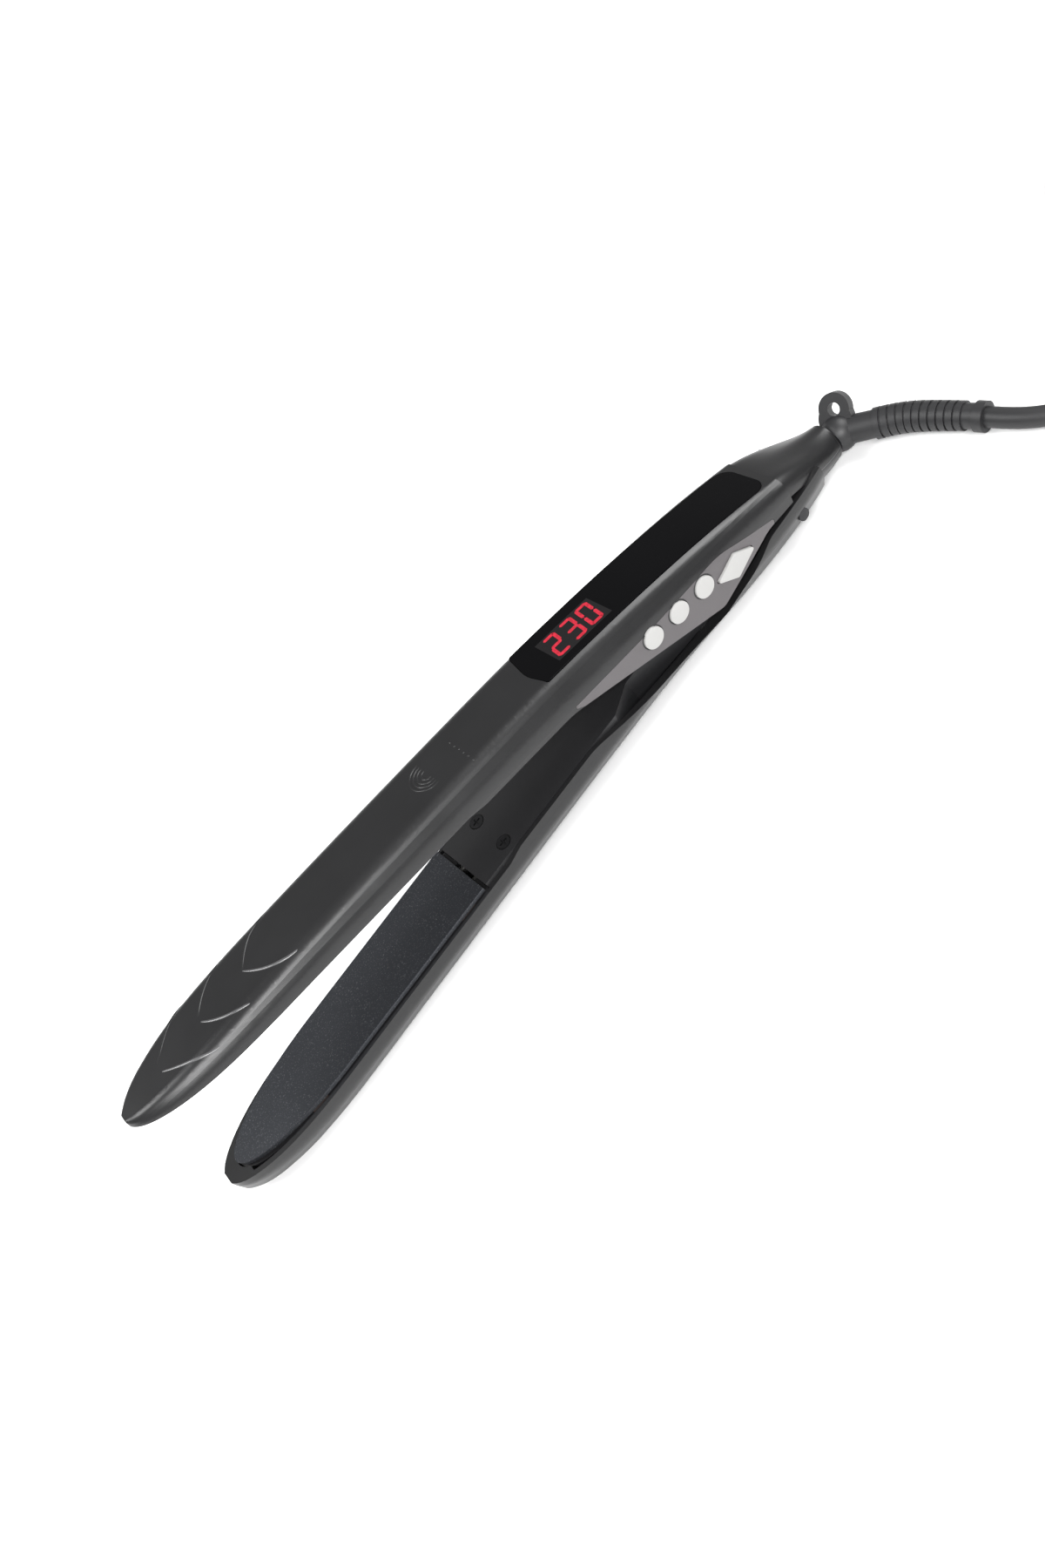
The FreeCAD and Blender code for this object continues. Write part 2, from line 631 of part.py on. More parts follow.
def arm_front(s, which, placement):
    # s is plus one in the upper arm and minus one in the lower arm
    def slab(z0, z1, rear, half, start, length, name):
        lo, hi = min(s * z0, s * z1), max(s * z0, s * z1)
        return nose_slab(lo, hi - lo, rear, half, start, length, "%s_%s" % (which, name))

    def block(x0, x1, y0, y1, z0, z1, name, exprs=None):
        lo, hi = min(s * z0, s * z1), max(s * z0, s * z1)
        return box(x0, x1, y0, y1, lo, hi, "%s_%s" % (which, name), exprs)

    face = S("plate_gap")
    back = face + S("plate_thick")
    rail = back + 3.0
    heater_back = back + S("heater_thick")
    ledge = back + S("plate_float") + 0.3
    # plate with two rails that hold the heater
    sheet_part = slab(face, back, 0.0, S("plate_half"), PLATE_START, PLATE_NOSE, "plate_sheet")
    rails = []
    for k, y in enumerate((7.2, -8.4)):
        rails.append(block(HEATER_X, -8.0, y, y + 1.2, back - 0.2, rail, "rail_%d" % k))
    plate = fuse([sheet_part] + rails, which + "_plate_piece")
    keep(plate, which + "_plate", placement)
    # carrier frame under the plate, seated in the shell
    out = slab(ledge, ledge + 1.25, 0.95, S("plate_half") + 0.1, PLATE_START, PLATE_NOSE + 0.3, "carrier_out")
    inside = slab(ledge - 1.0, ledge + 3.0, -5.0, 8.9, PLATE_START - 10.0, PLATE_NOSE - 14.0, "carrier_in")
    wire_gap = block(-6.0, 3.0, -5.0, 5.0, ledge - 1.0, ledge + 3.0, "carrier_wire_gap")
    carrier = cut(out, [inside, wire_gap], which + "_carrier_piece")
    keep(carrier, which + "_plate_carrier", placement)
    # silicone pads between plate and carrier
    pads = []
    for k, (x, y) in enumerate([(-76.0, 10.3), (-76.0, -10.3), (-8.0, 10.3), (-8.0, -10.3)]):
        pads.append(block(x - 3.0, x + 3.0, y - 1.0, y + 1.0, back, ledge, "pad_%d" % k))
    keep(group(pads, which + "_pads_set"), which + "_plate_pads", placement)
    # ceramic heater strip with its spring clip
    heater = block(HEATER_X, HEATER_X + S("heater_length"), -7.0, 7.0, back, heater_back, "heater_piece",
                   {"Length": "Sizes.heater_length", "Width": "Sizes.heater_width", "Height": "Sizes.heater_thick"})
    keep(heater, which + "_heater", placement)
    strips = [block(HEATER_X + 6.0, -14.0, -5.5, 5.5, heater_back, heater_back + 0.5, "clip_base")]
    for k, x in enumerate((HEATER_X + 6.0, -49.0, -19.0)):
        strips.append(block(x, x + 5.0, -7.2, 7.2, heater_back, heater_back + 0.5, "clip_arm_%d" % k))
    window = block(-70.0, -56.0, -3.0, 3.0, heater_back - 1.0, heater_back + 1.5, "clip_window")
    clip = cut(fuse(strips, which + "_clip_solid"), [window], which + "_clip_piece")
    keep(clip, which + "_heater_clip", placement)
    return heater_back


HEATER_BACK = arm_front(1.0, "upper", UPPER)
arm_front(-1.0, "lower", LOWER)


# ---------------------------------------------------------------- tubes: wires and cord
def tangent_path(points, radii):
    # straight runs joined by tangent arcs; radii is one per inner point
    runs = []
    last = V(*points[0])
    for i in range(1, len(points) - 1):
        p = V(*points[i])
        a = V(*points[i - 1]).sub(p)
        b = V(*points[i + 1]).sub(p)
        shorter = min(a.Length, b.Length)
        a.normalize()
        b.normalize()
        half_turn = (math.pi - a.getAngle(b)) / 2.0
        reach = 0.45 * shorter
        r = reach / math.tan(half_turn)
        radii.append(round(r, 1))
        start = p + a * reach
        stop = p + b * reach
        to_mid = a + b
        to_mid.normalize()
        middle = p + to_mid * (r / math.cos(half_turn) - r)
        runs.append(Part.LineSegment(last, start).toShape())
        runs.append(Part.Arc(start, middle, stop).toShape())
        last = stop
    runs.append(Part.LineSegment(last, V(*points[-1])).toShape())
    return Part.Wire(runs)


def tube(points, diameter, name):
    radii = []
    path = tangent_path(points, radii)
    first = V(*points[1]).sub(V(*points[0]))
    ring = Part.Wire([Part.Circle(V(*points[0]), first, diameter / 2.0).toShape()])
    solid = path.makePipeShell([ring], True, True)
    print("tube", name, "length", round(path.Length, 1), "bend radii", radii)
    o = doc.addObject("Part::Feature", name)
    o.Shape = solid
    return o


# ---------------------------------------------------------------- inside the upper arm
BOARD_Z = 1.2 + COVER
main_board_blank = box(40.0, 124.0, -7.6, 9.6, BOARD_Z, BOARD_Z + 1.2, "main_board_blank",
                       {"Height": "Sizes.board_thick"})
main_board = cut(main_board_blank, [cyl((52.0, 6.0, 0.0), (0, 0, 1), 1.3, 9.0, "board_hole_a"),
                                    cyl((118.0, 6.0, 0.0), (0, 0, 1), 1.3, 9.0, "board_hole_b")], "main_board_piece")
keep(main_board, "main_board", UPPER)
BOARD_TOP = BOARD_Z + S("board_thick")
parts_list = []
chips = [(44.0, 48.0, 1.0, 7.0, 2.6), (86.0, 93.0, -3.5, 3.5, 1.4), (96.0, 103.0, 3.0, 8.0, 2.4),
         (97.0, 100.0, -6.0, -2.0, 1.2), (106.0, 112.0, -4.0, 4.0, 1.3), (88.0, 90.0, 5.0, 8.5, 1.0)]
for k, (x0, x1, y0, y1, h) in enumerate(chips):
    parts_list.append(box(x0, x1, y0, y1, BOARD_TOP, BOARD_TOP + h, "chip_%d" % k))
for k, (x, y, r, h) in enumerate([(52.5, -4.5, 2.2, 4.2), (104.5, -5.6, 1.0, 1.6)]):
    parts_list.append(cyl((x, y, BOARD_TOP), (0, 0, 1), r, h, "can_%d" % k))
keep(group(parts_list, "board_components_set"), "board_components", UPPER)

DIGIT_TOP = 9.05
module = box(57.0, 81.0, -7.4, 4.6, BOARD_TOP, DIGIT_TOP - 0.3, "display_module_piece")
keep(module, "display_module", UPPER)

# seven segment digits: height along y, read from the button side
SEG = 1.15
DIGIT_H = 9.4
DIGIT_W = 4.5
LIT = {"2": "abged", "3": "abgcd", "0": "abcdef"}


def digit(char, x0, y0, name):
    h = DIGIT_H
    w = DIGIT_W
    t = SEG
    g = 0.22
    bars = {
        "a": (t * 0.6 + g, w - t * 0.6 - g, h - t, h), "d": (t * 0.6 + g, w - t * 0.6 - g, 0.0, t),
        "g": (t * 0.6 + g, w - t * 0.6 - g, (h - t) / 2, (h + t) / 2),
        "f": (0.0, t, h / 2 + g, h - t * 0.6 - g), "b": (w - t, w, h / 2 + g, h - t * 0.6 - g),
        "e": (0.0, t, t * 0.6 + g, h / 2 - g), "c": (w - t, w, t * 0.6 + g, h / 2 - g)}
    out = []
    for key in LIT[char]:
        a0, a1, b0, b1 = bars[key]
        k = t * 0.45
        if a1 - a0 > b1 - b0:
            m = (b0 + b1) / 2
            pts = [(a0, m, 0), (a0 + k, b0, 0), (a1 - k, b0, 0), (a1, m, 0), (a1 - k, b1, 0), (a0 + k, b1, 0)]
        else:
            m = (a0 + a1) / 2
            pts = [(m, b0, 0), (a1, b0 + k, 0), (a1, b1 - k, 0), (m, b1, 0), (a0, b1 - k, 0), (a0, b0 + k, 0)]
        pts = [(x0 + p, y0 + q, 0) for p, q, r in pts]
        out.append(prism("xy", pts, DIGIT_TOP - 0.3, DIGIT_TOP, "%s_%s" % (name, key)))
    return out


segments = []
for k, char in enumerate("230"):
    segments += digit(char, 60.6 + k * 5.9, -6.2, "digit_%d" % k)
keep(group(segments, "digits_set"), "display_digits", UPPER)

button_board = box(77.2, 124.8, -9.9, -9.1, -6.2, -2.0, "button_board_blank")
button_board_b = box(77.2, 112.0, -9.9, -9.1, -3.0, 0.9, "button_board_front")
keep(fuse([button_board, button_board_b], "button_board_piece"), "button_board", UPPER)
SWITCH_Y = -10.75
switches = []
for k, (x, z) in enumerate(ROUND + [POWER]):
    body_part = box(x - 2.2, x + 2.2, -10.5, -9.9, z - 1.6, z + 1.6, "switch_body_%d" % k)
    nub = cyl((x, SWITCH_Y, z), (0, 1, 0), 0.9, 0.5, "switch_nub_%d" % k)
    switches.append(fuse([body_part, nub], "switch_%d" % k))
keep(group(switches, "switches_set"), "tact_switches", UPPER)

# buttons: cap through the panel, flange inside the wall
FLANGE_Y = -12.15
STEM_Y = SWITCH_Y - 0.62
BUTTON_TOP = -15.3
BUTTON_NAMES = ["front_button", "middle_button", "rear_button"]
for k, (x, z) in enumerate(ROUND):
    cap = cyl((x, BUTTON_TOP, z), (0, 1, 0), S("button_diameter") / 2, FLANGE_Y - BUTTON_TOP + 0.4, "cap_%d" % k,
              {"Radius": "Sizes.button_diameter / 2"})
    flange = cyl((x, FLANGE_Y, z), (0, 1, 0), S("button_diameter") / 2 + 0.6, 0.5, "flange_%d" % k,
                 {"Radius": "Sizes.button_diameter / 2 + 0.6"})
    flange = common(flange, upper_fit, "flange_fit_%d" % k)
    stem = cyl((x, FLANGE_Y, z), (0, 1, 0), 1.4, STEM_Y - FLANGE_Y, "stem_%d" % k)
    keep(fuse([cap, flange, stem], "button_%d" % k), BUTTON_NAMES[k], UPPER)
cap = prism("xz", diamond(0.0), BUTTON_TOP, FLANGE_Y + 0.4, "power_cap")
flange = prism("xz", diamond(0.5), FLANGE_Y, FLANGE_Y + 0.5, "power_flange")
stem = cyl((POWER[0], FLANGE_Y, POWER[1]), (0, 1, 0), 1.4, STEM_Y - FLANGE_Y, "power_stem")
keep(fuse([cap, flange, stem], "power_piece"), "power_button", UPPER)

thermistor = cyl((-40.0, 0.0, HEATER_BACK + 0.5 + 1.0), (1, 0, 0), 1.0, 5.0, "thermistor_piece")
keep(thermistor, "thermistor", UPPER)
fuse_body = cyl((-44.0, 0.0, -(HEATER_BACK + 0.5 + 1.8)), (1, 0, 0), 1.8, 10.0, "thermal_fuse_piece")
keep(fuse_body, "thermal_fuse", LOWER)


def arm_wires(s, which, end_x, end_z, placement):
    out = []
    for k, y in enumerate((3.4, -3.4)):
        z0 = HEATER_BACK + 0.8
        pts = [(-13.2, y, s * z0), (-2.0, y, s * z0), (8.0, y * 0.9, s * (z0 + 1.4)),
               (22.0, y * 0.8, s * (z0 + 1.2)), (34.0, y * 0.8, s * end_z), (end_x, y * 0.7, s * end_z)]
        out.append(tube(pts, 1.5, "%s_wire_%d" % (which, k)))
    keep(group(out, which + "_wires_set"), which + "_heater_wires", placement)


arm_wires(1.0, "upper", 43.0, BOARD_TOP + 0.75, UPPER)
arm_wires(-1.0, "lower", 118.0, 6.2, LOWER)

# ---------------------------------------------------------------- opening spring between the arms
SPRING_TURNS = 5.0
SPRING_WIRE = 0.8
SPRING_R = 2.5
SPRING_HIGH = 6.5
SPRING_FOOT = -15.4
helix = Part.makeHelix(SPRING_HIGH / SPRING_TURNS, SPRING_HIGH, SPRING_R)
ring = Part.Wire([Part.Circle(V(SPRING_R, 0, 0), V(0, 1, 0), SPRING_WIRE / 2).toShape()])
spring = doc.addObject("Part::Feature", "opening_spring_piece")
spring.Shape = Part.Wire(helix.Edges).makePipeShell([ring], True, True)
spring.Placement = FreeCAD.Placement(V(SPRING_X, 0, SPRING_FOOT), FreeCAD.Rotation())
keep(spring, "opening_spring", UPPER)

# ---------------------------------------------------------------- swivel and cord, laid out on the table
SWIVEL = UPPER.multVec(V(END_X, 0, END_Z))
print("tail end at", SWIVEL)
ball = doc.addObject("Part::Sphere", "swivel_ball_sphere")
ball.Radius = BALL_R
ball.Placement.Base = V(BALL_X, 0, END_Z)
neck = cyl((BALL_X, 0, END_Z), (1, 0, 0), 2.9, 7.6, "swivel_neck")
core = cyl((BALL_X - 6.0, 0, END_Z), (1, 0, 0), 1.2, 14.0, "swivel_core")
swivel = cut(fuse([ball, neck], "swivel_solid"), [core], "swivel_piece")
keep(swivel, "swivel_ball", UPPER)

# middle line of the strain relief: out of the tail, round to the near side and down to the cord
RELIEF = [(142.7, -1.2, 6.6), (147.5, -5.3, 6.5), (150.3, -9.7, 6.4), (155.4, -18.0, 6.1),
          (159.2, -28.0, 5.6), (162.0, -38.0, 5.1), (163.0, -42.5, 4.9)]
RIBS = 11
RIB_FIRST = 0.30
RIB_STEP = 0.054
RIB_WIDE = 1.9
CORE_INSET = -0.55

relief_line = Part.BSplineCurve()
relief_line.interpolate([V(*p) for p in RELIEF])


def relief_point(t):
    u = relief_line.FirstParameter + t * (relief_line.LastParameter - relief_line.FirstParameter)
    return relief_line.value(u), relief_line.tangent(u)[0]


def relief_ring(t, grow):
    p, d = relief_point(t)
    r = (S("relief_base") + (S("relief_end") - S("relief_base")) * t) / 2.0 + grow
    return Part.Wire([Part.Circle(p, d, r).toShape()])


core_loft = doc.addObject("Part::Feature", "relief_core")
core_loft.Shape = Part.makeLoft([relief_ring(t / 8.0, CORE_INSET) for t in range(9)], True)
relief_parts = [core_loft]
for k in range(RIBS):
    t = RIB_FIRST + k * RIB_STEP
    p, d = relief_point(t)
    r = (S("relief_base") + (S("relief_end") - S("relief_base")) * t) / 2.0
    relief_parts.append(cyl(tuple(p - d * (RIB_WIDE / 2)), tuple(d), r, RIB_WIDE, "relief_rib_%d" % k))
p, d = relief_point(1.0)
relief_parts.append(cyl(tuple(p - d * 3.0), tuple(d), S("relief_end") / 2.0 + 0.3, 3.0, "relief_collar"))
elbow = doc.addObject("Part::Sphere", "relief_elbow")
elbow.Radius = 5.7
elbow.Placement.Base = V(144.7, -1.9, 6.6)
relief_parts.append(elbow)

# hanging loop moulded on top of the elbow, leaning back
LOOP = V(148.9, 0.3, 12.4)
loop_side = V(0.386, -0.923, 0.0)
loop_up = V(0.56, 0.234, 0.795)
loop_axis = loop_side.cross(loop_up)
loop_axis.normalize()
LOOP_THICK = 3.2
disc = cyl(tuple(LOOP - loop_axis * (LOOP_THICK / 2)), tuple(loop_axis), 5.0, LOOP_THICK, "loop_disc")
foot_place = LOOP - loop_up * 3.0 - loop_axis * (LOOP_THICK / 2)
foot = cyl(tuple(foot_place), tuple(loop_axis), 5.4, LOOP_THICK, "loop_foot")
loop_hole = cyl(tuple(LOOP - loop_axis * 6.0), tuple(loop_axis), S("loop_hole") / 2, 12.0, "loop_hole",
                {"Radius": "Sizes.loop_hole / 2"})
relief_parts += [disc, foot]
relief_solid = fuse(relief_parts, "relief_solid")
behind = box(END_X - 30.0, END_X + 0.35, -20.0, 20.0, END_Z - 20.0, END_Z + 20.0, "behind_tail_end")
behind.Placement = UPPER.multiply(behind.Placement)
neck_room = cyl((BALL_X - 4.0, 0, END_Z), (1, 0, 0), 2.9, 13.5, "neck_room")
neck_room.Placement = UPPER.multiply(neck_room.Placement)
HOME = FreeCAD.Placement()
relief = cut(relief_solid, [behind, neck_room, loop_hole], "relief_piece")
keep(relief, "strain_relief", HOME)
print("loop hole at", LOOP, "axis", loop_axis)

CORD = S("cord_diameter")
LEAD = [(163.05, -42.9, 4.9), (165.0, -51.8, 4.4), (169.9, -61.4, 3.8), (177.1, -69.4, 3.4),
        (186.3, -75.3, 3.2), (198.0, -79.0, 3.2), (214.0, -80.9, 3.2), (234.0, -81.2, 3.2),
        (252.0, -80.9, 3.2), (262.0, -80.5, 3.2)]
keep(tube(LEAD, CORD, "lead_tube"), "cord_lead", HOME)

COIL = V(274.0, -40.0, 0.0)
COIL_IN = 24.2
COIL_OUT = 43.8
COIL_HIGH = 18.8
coil_body = new_body("coil_form")
ring_pts = [(COIL_IN, 0.0, 3.0), (COIL_OUT, 0.0, 3.0), (COIL_OUT, COIL_HIGH, 3.0), (COIL_IN, COIL_HIGH, 3.0)]
ring_sketch = sketch(coil_body, "XZ_Plane", 0.0, rounded_edges(ring_pts), "coil_ring")
turn = coil_body.newObject("PartDesign::Revolution", "coil_turn")
turn.Profile = ring_sketch
turn.ReferenceAxis = (ring_sketch, ["V_Axis"])
turn.Angle = 360.0
doc.recompute()
TIE_HALF = 4.5
tie_outer = box(-TIE_HALF, TIE_HALF, COIL_IN - 1.0, COIL_OUT + 1.0, 0.0, COIL_HIGH + 1.0, "tie_outer")
tie_inner = box(-TIE_HALF - 0.5, TIE_HALF + 0.5, COIL_IN + 0.4, COIL_OUT - 0.4, 0.9, COIL_HIGH - 0.1,
                "tie_inner")
tie = cut(tie_outer, [tie_inner], "tie_piece")
tie.Placement.Base = COIL
coil_body.Placement.Base = COIL

# the end of the cord leaves the top of the coil on its outer side and runs down to the plug
END = [(284.5, -79.3, 15.5), (296.0, -76.6, 14.9), (307.0, -71.9, 12.9), (316.6, -65.2, 10.3),
       (324.2, -56.4, 8.0), (329.2, -46.0, 6.3)]
keep(tube(END, CORD, "end_tube"), "cord_end", HOME)
COIL_CLEAR = 0.3
lead_room = tube(LEAD, CORD + COIL_CLEAR, "lead_room")
end_room = tube(END, CORD + COIL_CLEAR, "end_room")
coil = cut(coil_body, [tie, lead_room, end_room], "coil_piece")
keep(coil, "cord_coil", HOME)
tie_kept = doc.addObject("Part::Feature", "tie_kept")
tie_kept.Shape = tie.Shape.copy()
keep(tie_kept, "cord_tie", HOME)

# the plug is drawn along y from the cord's end at its origin
PLUG_HIGH = 12.6
PLUG_FACE = 35.0
PIN_ROOT = 1.7
PIN_INSIDE = 8.0
plug_pts = [(-6.0, 0.0, 0), (6.0, 0.0, 0), (8.5, 12.0, 8.0), (17.0, 22.0, 8.0), (17.8, PLUG_FACE, 2.0),
            (-17.8, PLUG_FACE, 2.0), (-17.0, 22.0, 8.0), (-8.5, 12.0, 8.0)]
plug_outline = prism("xy", plug_pts, 0.0, PLUG_HIGH, "plug_outline")
plug_side = prism("yz", [(-1.0, 1.2, 0), (14.0, 0.0, 2.0), (36.0, 0.0, 0), (36.0, PLUG_HIGH, 0),
                         (14.0, PLUG_HIGH, 2.0), (-1.0, PLUG_HIGH - 1.2, 0)], -25.0, 25.0, "plug_side")
plug_raw = common(plug_outline, plug_side, "plug_body_raw")
CORD_SEAT = 0.8
sockets = [cyl((0, -1.0, PLUG_HIGH / 2), (0, 1, 0), CORD / 2 + COIL_CLEAR, 1.0 + CORD_SEAT, "plug_cord_seat")]
pins = []
for k, side in enumerate((-0.5, 0.5)):
    px = side * S("plug_pin_spacing")
    inner_end = (px, PLUG_FACE - PIN_INSIDE, PLUG_HIGH / 2)
    sockets.append(cyl(inner_end, (0, 1, 0), PIN_ROOT, 20.0, "plug_socket_%d" % k))
    shank = cyl((px, PLUG_FACE, PLUG_HIGH / 2), (0, 1, 0), S("plug_pin_diameter") / 2,
                S("plug_pin_length"), "pin_shank_%d" % k,
                {"Radius": "Sizes.plug_pin_diameter / 2", "Height": "Sizes.plug_pin_length"})
    pin_root = cyl(inner_end, (0, 1, 0), PIN_ROOT, PIN_INSIDE + 0.5, "pin_root_%d" % k)
    pins.append(fuse([shank, pin_root], "plug_pin_%d" % k))
last_run = V(*END[-1]).sub(V(*END[-2]))
plug_turn = math.degrees(math.atan2(last_run.y, last_run.x)) - 90.0
PLUG_PLACE = FreeCAD.Placement(V(END[-1][0], END[-1][1], 0), FreeCAD.Rotation(V(0, 0, 1), plug_turn))
print("plug turned by", plug_turn)
keep(cut(plug_raw, sockets, "plug_body_piece"), "plug_body", PLUG_PLACE)
keep(group(pins, "plug_pins_set"), "plug_pins", PLUG_PLACE)

# ---------------------------------------------------------------- check and write
doc.recompute()
for obj in doc.Objects:
    if "Invalid" in obj.State or "Error" in obj.State:
        raise RuntimeError("failed object " + obj.Name)
for obj in pieces:
    if obj.Shape.isNull() or not obj.Shape.isValid():
        raise RuntimeError("bad shape " + obj.Label)

os.makedirs("parts", exist_ok=True)
for obj in pieces:
    obj.Shape.exportStep("parts/%s.step" % obj.Label)
    print(obj.Label, len(obj.Shape.Solids), "solids", round(obj.Shape.Volume, 1), "mm3")
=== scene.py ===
"""Looks of the hair straightener: open on a pale table, cord running off to the side.

Lengths are metres. Details of the upper arm are drawn in the arm's own millimetres, as if
the iron were shut: x from the rear edge of the plates towards the tail, y across (buttons
at minus y), z up from the plane where the plates meet. upper() turns such a place into the
frame's metres.
"""
import bpy
import bmesh
import json
import math
from mathutils import Matrix, Vector
from mathutils.bvhtree import BVHTree


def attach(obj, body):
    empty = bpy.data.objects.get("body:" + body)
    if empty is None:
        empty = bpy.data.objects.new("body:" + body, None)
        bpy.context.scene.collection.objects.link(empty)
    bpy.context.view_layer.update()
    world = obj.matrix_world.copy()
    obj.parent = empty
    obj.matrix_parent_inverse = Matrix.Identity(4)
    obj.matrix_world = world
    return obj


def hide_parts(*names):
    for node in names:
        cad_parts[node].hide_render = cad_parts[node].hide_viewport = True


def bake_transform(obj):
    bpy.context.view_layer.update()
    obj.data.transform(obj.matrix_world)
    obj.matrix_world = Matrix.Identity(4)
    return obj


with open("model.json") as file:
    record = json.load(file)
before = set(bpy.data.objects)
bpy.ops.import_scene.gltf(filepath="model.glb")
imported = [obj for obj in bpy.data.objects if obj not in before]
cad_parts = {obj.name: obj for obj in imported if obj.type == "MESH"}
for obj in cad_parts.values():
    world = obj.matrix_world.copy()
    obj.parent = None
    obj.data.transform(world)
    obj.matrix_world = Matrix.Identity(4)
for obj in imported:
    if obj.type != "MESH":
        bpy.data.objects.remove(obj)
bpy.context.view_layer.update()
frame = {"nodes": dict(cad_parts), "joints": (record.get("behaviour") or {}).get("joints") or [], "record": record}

# ------------------------------------------------------------------ places
MM = 0.001
HINGE_AHEAD = 144.8       # rear edge of the plates to the hinge pin
HINGE_DROP = 11.0         # plate plane down to the hinge pin
UPPER_TILT = 7.26         # degrees, tip up
joints = {j["name"]: j for j in frame["joints"]}
HINGE = Vector(joints["arm_hinge"]["pos_m"])


def arm_matrix(tilt):
    """From an arm's own millimetres, scaled to metres, to its place in the frame."""
    turn = Matrix.Rotation(math.radians(tilt), 4, "Y")
    shift = Matrix.Translation(Vector((-HINGE_AHEAD, 0.0, HINGE_DROP)) * MM)
    return Matrix.Translation(HINGE) @ turn @ shift


UPPER = arm_matrix(UPPER_TILT)


def upper(x, y, z):
    return UPPER @ (Vector((x, y, z)) * MM)


# ------------------------------------------------------------------ materials
DRIFT_SCALE = 45.0        # size of the slow drift in colour and gloss
GRAIN_STRENGTH = 0.35


def shader(name):
    mat = bpy.data.materials.new(name)
    mat.use_nodes = True
    return mat, mat.node_tree.nodes, mat.node_tree.links, mat.node_tree.nodes["Principled BSDF"]


def noise(nodes, links, scale, detail=3.0, rough=0.55):
    coord = nodes.new("ShaderNodeTexCoord")
    tex = nodes.new("ShaderNodeTexNoise")
    tex.inputs["Scale"].default_value = scale
    tex.inputs["Detail"].default_value = detail
    tex.inputs["Roughness"].default_value = rough
    links.new(coord.outputs["Object"], tex.inputs["Vector"])
    return tex.outputs["Fac"]


def ramp(nodes, links, fac, stops):
    node = nodes.new("ShaderNodeValToRGB")
    while len(node.color_ramp.elements) < len(stops):
        node.color_ramp.elements.new(0.5)
    for element, (at, colour) in zip(node.color_ramp.elements, stops):
        element.position = at
        element.color = tuple(colour) + (1.0,)
    links.new(fac, node.inputs["Fac"])
    return node.outputs["Color"]


def span(nodes, links, fac, low, high):
    node = nodes.new("ShaderNodeMapRange")
    node.inputs["To Min"].default_value = low
    node.inputs["To Max"].default_value = high
    links.new(fac, node.inputs["Value"])
    return node.outputs["Result"]


def bump(nodes, links, height, strength, distance):
    node = nodes.new("ShaderNodeBump")
    node.inputs["Strength"].default_value = strength
    node.inputs["Distance"].default_value = distance
    links.new(height, node.inputs["Height"])
    return node.outputs["Normal"]


def plastic(name, colour, rough, grain, grain_depth, spread, metallic=0.0, rough_spread=0.05, specular=0.5):
    """Moulded plastic or rubber: fine grain in the surface, slow drift in colour and gloss."""
    mat, nodes, links, bsdf = shader(name)
    slow = noise(nodes, links, DRIFT_SCALE, 4.0)
    dark = [c * (1.0 - spread) for c in colour]
    light = [min(1.0, c * (1.0 + spread)) for c in colour]
    links.new(ramp(nodes, links, slow, [(0.3, dark), (0.7, light)]), bsdf.inputs["Base Color"])
    fine = noise(nodes, links, grain, 2.0)
    links.new(span(nodes, links, slow, rough - rough_spread, rough + rough_spread), bsdf.inputs["Roughness"])
    links.new(bump(nodes, links, fine, GRAIN_STRENGTH, grain_depth), bsdf.inputs["Normal"])
    bsdf.inputs["Metallic"].default_value = metallic
    bsdf.inputs["Specular IOR Level"].default_value = specular
    return mat


def speckled(name, colour, rough, flakes, fleck):
    """Coated metal with tiny bright flecks."""
    mat, nodes, links, bsdf = shader(name)
    fine = noise(nodes, links, flakes, 1.0, 0.4)
    slow = noise(nodes, links, 60.0, 3.0)
    flecks = ramp(nodes, links, fine, [(0.0, colour), (0.60, colour), (0.78, fleck)])
    links.new(flecks, bsdf.inputs["Base Color"])
    links.new(span(nodes, links, slow, rough - 0.04, rough + 0.06), bsdf.inputs["Roughness"])
    links.new(bump(nodes, links, fine, 0.25, 0.00002), bsdf.inputs["Normal"])
    bsdf.inputs["Metallic"].default_value = 0.75
    return mat


def lamp_red(name):
    """Lit segments of the display."""
    mat, nodes, links, bsdf = shader(name)
    fine = noise(nodes, links, 900.0, 1.0)
    glow = ramp(nodes, links, fine, [(0.3, (0.24, 0.004, 0.014)), (0.7, (0.38, 0.010, 0.026))])
    links.new(glow, bsdf.inputs["Base Color"])
    links.new(glow, bsdf.inputs["Emission Color"])
    bsdf.inputs["Emission Strength"].default_value = 0.25
    bsdf.inputs["Roughness"].default_value = 0.4
    return mat


# name, colour, roughness, grain scale, grain depth in metres, spread of the colour
CHARCOAL = plastic("charcoal_shell", (0.0095, 0.0095, 0.0100), 0.34, 2600.0, 0.00002, 0.10, specular=0.42)
# painted highlight: a lighter, glossier grey for the near crescent lines, standing in for the light they catch
NEAR_LINE_HIGHLIGHT = plastic("moulded_line", (0.060, 0.060, 0.062), 0.28, 2600.0, 0.00001, 0.10, specular=0.8)
LENS_BLACK = plastic("lens_black", (0.0015, 0.0015, 0.0018), 0.12, 400.0, 0.000003, 0.1, rough_spread=0.02,
                     specular=0.10)
WINDOW = plastic("display_window", (0.010, 0.0095, 0.010), 0.30, 700.0, 0.000005, 0.08, specular=0.10)
PANEL_GREY = plastic("panel_grey", (0.070, 0.064, 0.067), 0.42, 2200.0, 0.00002, 0.06)
SILVER = plastic("button_silver", (0.34, 0.337, 0.330), 0.38, 2400.0, 0.00002, 0.04)
COVER_BLACK = plastic("cover_black", (0.011, 0.011, 0.012), 0.46, 1800.0, 0.00004, 0.12)
TITANIUM = speckled("plate_titanium", (0.050, 0.053, 0.060), 0.34, 2600.0, (0.15, 0.155, 0.165))
